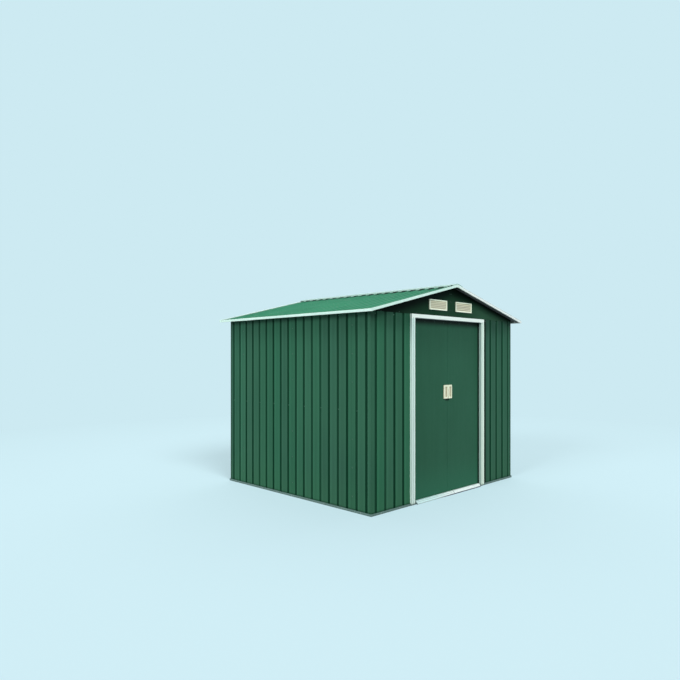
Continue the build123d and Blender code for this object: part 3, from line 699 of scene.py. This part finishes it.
# Walls as start, direction and number of pitches, and the pitches where their panels lap
WALLS = {
    "front": ((-HALF_WIDTH, -HALF_DEPTH), (1, 0), FRONT_RIBS),
    "right": ((HALF_WIDTH, -HALF_DEPTH), (0, 1), SIDE_RIBS),
    "back": ((HALF_WIDTH, HALF_DEPTH), (-1, 0), FRONT_RIBS),
    "left": ((-HALF_WIDTH, HALF_DEPTH), (0, -1), SIDE_RIBS),
}
WALL_SEAMS = {"right": (2, 9, 16), "back": (2, 7, 12, 17), "left": (2, 9, 16)}
LAP_SCREW_HEIGHTS = (0.12, 0.34, 0.56, 1.0, 1.22, 1.44)
TOP_RAIL_SCREWS = 1.524
MID_RAIL_SCREWS = 0.78
BASE_RAIL_SCREWS = 0.0095
RAIL_WASHER = 0.0052
JAMB_CLEARANCE = 0.012


def wall_spot(wall, along, inward, z):
    """A point at a distance along a wall and inward from its face, with the wall's outward normal."""
    (x, y), (dx, dy), _ = WALLS[wall]
    return Vector((x + dx * along - dy * inward, y + dy * along + dx * inward, z)), (dy, -dx, 0)


def clear_of_doorway(wall, along):
    """True where a spot on a wall isn't on the doorway or its jambs."""
    if wall != "front":
        return True
    return abs(along - HALF_WIDTH - DOORWAY_CENTRE) > DOOR_FRAME_HALF + JAMB_CLEARANCE


def wall_screws():
    """Screws along the sheet laps, through the grooves into the rails, and along the base rail."""
    seams, rails, base = [], [], []
    for wall, pitches in WALL_SEAMS.items():
        for pitch in pitches:
            for z in LAP_SCREW_HEIGHTS:
                seams.append(wall_spot(wall, pitch * PITCH + LAP / 2, 0, z))
    for wall, (_, _, ribs) in WALLS.items():
        for i in range(0, ribs, 2):
            along = (i + 0.5) * PITCH
            if not clear_of_doorway(wall, along):
                continue
            rails.append(wall_spot(wall, along, GROOVE_DEPTH, TOP_RAIL_SCREWS))
            if wall != "front":
                rails.append(wall_spot(wall, along, GROOVE_DEPTH, MID_RAIL_SCREWS))
        for i in range(1, ribs, 2):
            if clear_of_doorway(wall, i * PITCH):
                base.append(wall_spot(wall, i * PITCH, -BASE_PROUD, BASE_RAIL_SCREWS))
    screws("lap_screws", SCREW_GREEN, "wall_green", "root", seams)
    screws("rail_screws", SCREW_GREEN, "wall_green", "root", rails, washer=RAIL_WASHER)
    screws("base_screws", SCREW_ZINC, "galvanised", "root", base)


# Screws of the gables and of their vents
GABLE_FOOT_SCREWS = 1.5495
GABLE_SEAM_REACH = 0.012
GABLE_SEAM_SCREWS = (1.60, 1.67, 1.74)
VENT_SCREWS = (0.114, 0.037)
VENT_SCREW = 0.0028


def gable_screws():
    """Screws along the foot and the seam of both gables, and four in each vent."""
    gable, vent = [], []
    for side in (-1, 1):
        normal = (0, side, 0)
        for i in range(1, FRONT_RIBS, 2):
            x = i * PITCH - HALF_WIDTH
            gable.append((Vector((x, side * GABLE_FACE, GABLE_FOOT_SCREWS)), normal))
        for x in (-GABLE_SEAM_REACH, GABLE_SEAM_REACH):
            for z in GABLE_SEAM_SCREWS:
                gable.append((Vector((x, side * GABLE_FACE, z)), normal))
        for x in (-VENT_CENTRE[0], VENT_CENTRE[0]):
            for dx in (-VENT_SCREWS[0], VENT_SCREWS[0]):
                for dz in (-VENT_SCREWS[1], VENT_SCREWS[1]):
                    place = Vector((x + dx, side * (GABLE_FACE + VENT_PROUD), VENT_CENTRE[1] + dz))
                    vent.append((place, normal))
    screws("gable_screws", SCREW_GABLE, "gable_green", "root", gable)
    screws("vent_screws", SCREW_CREAM, "cream_plastic", "root", vent, radius=VENT_SCREW, washer=0)


# Roof screws: distances from the ridge line, seams in pitches, and small shifts
RAIL_AND_PURLIN_SCREWS = (0.541, 0.975)
PAN_SCREW_SHIFT = 0.016
ROOF_SEAMS = (6.5, 13.5)
ROOF_SEAM_SCREWS = (0.20, 0.37, 0.70, 0.86)
RIDGE_CAP_SCREWS = 0.045
EAVE_SCREW_INSET = 0.0065
VERGE_SCREWS = (0.16, 0.44, 0.72, 0.98)
VERGE_SCREW_LIFT = -0.0015
VERGE_SCREW_DIMPLE = 0.0004


def roof_spot(x, y, lift=0.0):
    """A point on the roof, lift above the pans, with the slope's normal."""
    side = 1 if x > 0 else -1
    normal = Vector((side * math.sin(ROOF_ANGLE), 0, math.cos(ROOF_ANGLE)))
    pan = ROOF_EDGE + math.tan(ROOF_ANGLE) * (EAVE_REACH - abs(x))
    return Vector((x, y, pan)) + Vector((0, 0, lift / math.cos(ROOF_ANGLE))), normal


def roof_screws():
    """Screws in the roof pans, along the laps, and in the ridge cap, the eave trims and the verges."""
    pans, trims = [], []
    cap_top = ROOF_RIB_HEIGHT + RIDGE_CAP_LIP
    eave_top = ROOF_RIB_HEIGHT + TRIM_SHEET
    for side in (-1, 1):
        for i in range(0, SIDE_RIBS, 2):
            y = (i + 0.5) * PITCH - HALF_DEPTH + PAN_SCREW_SHIFT
            pans += [roof_spot(side * x, y) for x in RAIL_AND_PURLIN_SCREWS]
        for seam in ROOF_SEAMS:
            y = seam * PITCH - HALF_DEPTH + LAP / 2
            pans += [roof_spot(side * x, y, LAP_STEP) for x in ROOF_SEAM_SCREWS]
        for i in range(0, SIDE_RIBS + 1, 3):
            y = i * PITCH - HALF_DEPTH
            trims.append(roof_spot(side * RIDGE_CAP_SCREWS, y, cap_top))
            trims.append(roof_spot(side * (EAVE_TRIM_REACH - EAVE_SCREW_INSET), y, eave_top))
    for front in (-1, 1):
        y = front * (VERGE_TRIM_REACH - VERGE_SCREW_DIMPLE)
        for x in VERGE_SCREWS:
            for side in (-1, 1):
                point, _ = roof_spot(side * x, y, VERGE_SCREW_LIFT)
                trims.append((point, (0, front, 0)))
    screws("roof_screws", SCREW_ROOF, "roof_green", "root", pans)
    screws("trim_screws", SCREW_WHITE, "trim_white", "root", trims, radius=SMALL_SCREW, washer=0)


# Screws of the doorway and the leaves: distances from the doorway's middle, and heights
JAMB_SCREW_HEIGHTS = (0.10, 0.44, 0.78, 1.12, 1.46)
RAMP_SCREWS = (0.06, 0.25, 0.44)
RAMP_SCREW_LINE = -0.945
HEAD_SCREWS = (0.15, 0.42)
HEAD_SCREW_HEIGHT = 1.527
LEAF_RIVETS = (0.05, 0.18, 0.31, 0.44)
LEAF_RIVET_HEIGHTS = (0.039, 1.490)
LEAF_RIVET = 0.003
PULL_SCREW_REACH = 0.0515
PULL_SCREW = 0.0026


def doorway_screws():
    """Screws in the jambs, the head rail and the ramp."""
    spots = []
    face = -HALF_DEPTH - JAMB_PROUD
    for side in (-1, 1):
        x = DOORWAY_CENTRE + side * (DOOR_FRAME_HALF - JAMB_FACE / 2)
        for z in JAMB_SCREW_HEIGHTS:
            spots.append((Vector((x, face + JAMB_BEAD, z)), (0, -1, 0)))
        for reach in RAMP_SCREWS:
            spots.append((Vector((DOORWAY_CENTRE + side * reach, RAMP_SCREW_LINE, RAMP_TOP)), (0, 0, 1)))
        for reach in HEAD_SCREWS:
            spots.append((Vector((DOORWAY_CENTRE + side * reach, face, HEAD_SCREW_HEIGHT)), (0, -1, 0)))
    screws("doorway_screws", SCREW_WHITE, "trim_white", "root", spots, radius=SMALL_SCREW, washer=0)


def door_screws(side, body):
    """Rivets along the foot and head of a leaf, and two screws in its pull."""
    rivets, pull = [], []
    for reach in LEAF_RIVETS:
        for z in LEAF_RIVET_HEIGHTS:
            rivets.append((Vector((DOORWAY_CENTRE + side * reach, DOOR_FRONT, z)), (0, -1, 0)))
    x = DOORWAY_CENTRE + side * HANDLE_REACH
    for z in (-PULL_SCREW_REACH, PULL_SCREW_REACH):
        pull.append((Vector((x, DOOR_FRONT - HANDLE_PROUD, HANDLE_CENTRE + z)), (0, -1, 0)))
    screws("door_rivets_" + body, SCREW_DOOR, "door_green", body, rivets, radius=LEAF_RIVET, washer=0)
    screws("pull_screws_" + body, SCREW_CREAM, "cream_plastic", body, pull, radius=PULL_SCREW, washer=0)


# The seal strip: how far it stays from the other leaf, its depths in the leaf, and its rounding
SEAL_CLEARANCE = 0.0008
SEAL_DEPTHS = (0.0010, 0.0070)
SEAL_SHOULDER = 0.0015
SEAL_CHEEK = (0.0004, 0.0006)
SEAL_NOSE = 0.0020


def door_seal():
    """A soft strip on the right leaf's meeting edge, which closes the gap between the leaves."""
    edge = DOORWAY_CENTRE + DOOR_GAP / 2
    nose = edge - DOOR_GAP + SEAL_CLEARANCE
    front, back = (DOOR_FRONT + depth for depth in SEAL_DEPTHS)
    cheek, cheek_depth = SEAL_CHEEK
    section = [(edge, front), (nose + SEAL_SHOULDER, front), (nose + cheek, front + cheek_depth),
               (nose, front + SEAL_NOSE), (nose, back - SEAL_NOSE), (nose + cheek, back - cheek_depth),
               (nose + SEAL_SHOULDER, back), (edge, back)]
    points = [Vector((x, y, z)) for z in DOOR_SPAN for x, y in section]
    count = len(section)
    faces = [list(range(count)), list(range(2 * count - 1, count - 1, -1))]
    for i in range(count):
        j = (i + 1) % count
        faces.append([i, i + count, j + count, j])
    stock = Stock()
    stock.add(points, faces, Matrix())
    stock.piece("door_seal", DOOR, "door_green", "right_door", smooth=False)


SCREW_GREEN = plain("green_screw_enamel", srgb(44, 92, 70), 0.45)
# gable screws painted as dark as the gable's painted shade
SCREW_GABLE = plain("gable_screw_enamel", srgb(20, 50, 34), 0.6)
SCREW_ROOF = plain("roof_screw_enamel", srgb(50, 128, 92), 0.45)
SCREW_DOOR = plain("door_rivet_enamel", srgb(44, 92, 71), 0.45)
SCREW_WHITE = plain("white_screw_enamel", srgb(205, 218, 213), 0.4)
SCREW_ZINC = plain("zinc_screw", srgb(122, 142, 136), 0.5, 0.3)
SCREW_CREAM = plain("cream_screw_cap", srgb(222, 220, 192), 0.5)

wall_screws()
gable_screws()
roof_screws()
doorway_screws()
door_screws(-1, "left_door")
door_screws(1, "right_door")
door_seal()

# Studio: lamps as the way to them, strength and spread in degrees, and the pale floor
BACKGROUND = srgb(205, 234, 242)
AMBIENT = 0.31
SIDE_LAMP = ((-0.93, -0.05, 0.36), 1.82, 24)
FRONT_LAMP = ((-0.20, -0.74, 0.64), 2.2, 24)
BACK_LAMP = ((0.60, 0.60, 0.53), 1.25, 90)
FLOOR_LIGHT = 1.05
FLOOR_GLOW = 0.5
FLOOR_BOUNCE = 0.33
FLOOR_REACH = 40.0
FLOOR_LEVEL = -0.0005
FLOOR_FADE = (3.0, 7.0)


def seen_directly(tree):
    """1 for rays that come from the eye, through glass or off a gloss, 0 for light that bounces."""
    path = tree.nodes.new("ShaderNodeLightPath")
    seen = path.outputs["Is Camera Ray"]
    for kind in ("Is Transmission Ray", "Is Glossy Ray"):
        either = tree.nodes.new("ShaderNodeMath")
        either.operation = "MAXIMUM"
        tree.links.new(seen, either.inputs[0])
        tree.links.new(path.outputs[kind], either.inputs[1])
        seen = either.outputs[0]
    return seen


def coloured(tree, kind, colour):
    """A surface or light node of one colour."""
    node = tree.nodes.new(kind)
    node.inputs["Color"].default_value = colour
    return node


def mixed(tree, factor, first, second):
    """The first surface where the factor is 0, the second where it is 1."""
    node = tree.nodes.new("ShaderNodeMixShader")
    if isinstance(factor, bpy.types.NodeSocket):
        tree.links.new(factor, node.inputs[0])
    else:
        node.inputs[0].default_value = factor
    tree.links.new(first.outputs[0], node.inputs[1])
    tree.links.new(second.outputs[0], node.inputs[2])
    return node


def studio_world():
    """Even white light, with the pale background for what the eye or a reflection sees."""
    world = bpy.data.worlds.new("studio")
    bpy.context.scene.world = world
    world.use_nodes = True
    tree = world.node_tree
    tree.nodes.clear()
    light = coloured(tree, "ShaderNodeBackground", (1.0, 1.0, 1.0, 1.0))
    light.inputs["Strength"].default_value = AMBIENT
    view = coloured(tree, "ShaderNodeBackground", BACKGROUND)
    both = mixed(tree, seen_directly(tree), light, view)
    out = tree.nodes.new("ShaderNodeOutputWorld")
    tree.links.new(both.outputs[0], out.inputs["Surface"])


def sun(name, toward, strength, spread):
    """A broad soft lamp; toward points from the shed to the lamp."""
    lamp = bpy.data.lights.new(name, "SUN")
    lamp.energy = strength
    lamp.angle = math.radians(spread)
    holder = bpy.data.objects.new(name, lamp)
    holder.rotation_mode = "QUATERNION"
    holder.rotation_quaternion = Vector(toward).to_track_quat("Z", "Y")
    bpy.context.scene.collection.objects.link(holder)


def floor_material():
    """Pale and shadowed near the shed, a duller grey for bounced light, plain background far away."""
    material = bpy.data.materials.new("pale_floor")
    material.use_nodes = True
    tree = material.node_tree
    tree.nodes.clear()
    shown = coloured(tree, "ShaderNodeBsdfDiffuse", scaled(BACKGROUND, 1 / FLOOR_LIGHT))
    lit = coloured(tree, "ShaderNodeBsdfDiffuse", (FLOOR_BOUNCE, FLOOR_BOUNCE, FLOOR_BOUNCE, 1.0))
    glow = coloured(tree, "ShaderNodeEmission", BACKGROUND)
    near = mixed(tree, seen_directly(tree), lit, mixed(tree, FLOOR_GLOW, shown, glow))
    place = tree.nodes.new("ShaderNodeTexCoord")
    length = tree.nodes.new("ShaderNodeVectorMath")
    length.operation = "LENGTH"
    tree.links.new(place.outputs["Object"], length.inputs[0])
    far = tree.nodes.new("ShaderNodeMapRange")
    far.inputs["From Min"].default_value, far.inputs["From Max"].default_value = FLOOR_FADE
    tree.links.new(length.outputs["Value"], far.inputs["Value"])
    both = mixed(tree, far.outputs["Result"], near, glow)
    out = tree.nodes.new("ShaderNodeOutputMaterial")
    tree.links.new(both.outputs[0], out.inputs["Surface"])
    return material


def floor():
    """A large pale floor that keeps the shed's shadow and melts into the background far away."""
    mesh = bpy.data.meshes.new("floor")
    corners = [(-FLOOR_REACH, -FLOOR_REACH, FLOOR_LEVEL), (FLOOR_REACH, -FLOOR_REACH, FLOOR_LEVEL),
               (FLOOR_REACH, FLOOR_REACH, FLOOR_LEVEL), (-FLOOR_REACH, FLOOR_REACH, FLOOR_LEVEL)]
    mesh.from_pydata(corners, [], [(0, 1, 2, 3)])
    mesh.materials.append(floor_material())
    plane = bpy.data.objects.new("floor", mesh)
    bpy.context.scene.collection.objects.link(plane)


studio_world()
sun("side_lamp", *SIDE_LAMP)
sun("front_lamp", *FRONT_LAMP)
sun("back_lamp", *BACK_LAMP)
floor()

# Camera: level, at the photograph's place, with its focal length and optical centre in pixels
PHOTO_SIDE = 680
FOCAL_LENGTH = 587.22
OPTICAL_CENTRE = (375.5, 357.37)
SENSOR = 36.0
EYE_PLACE = (-4.157, -3.9906, 1.1908)
EYE_HEADING = -0.8111
CLIPPING = (0.05, 200.0)

camera = bpy.data.cameras.new("camera")
camera.sensor_width = SENSOR
camera.lens = FOCAL_LENGTH / PHOTO_SIDE * SENSOR
camera.shift_x = (PHOTO_SIDE / 2 - OPTICAL_CENTRE[0]) / PHOTO_SIDE
camera.shift_y = (OPTICAL_CENTRE[1] - PHOTO_SIDE / 2) / PHOTO_SIDE
camera.clip_start, camera.clip_end = CLIPPING
eye = bpy.data.objects.new("camera", camera)
eye.location = EYE_PLACE
eye.rotation_euler = (math.radians(90), 0.0, EYE_HEADING)
bpy.context.scene.collection.objects.link(eye)
bpy.context.scene.camera = eye

bpy.context.scene.view_settings.view_transform = "Standard"
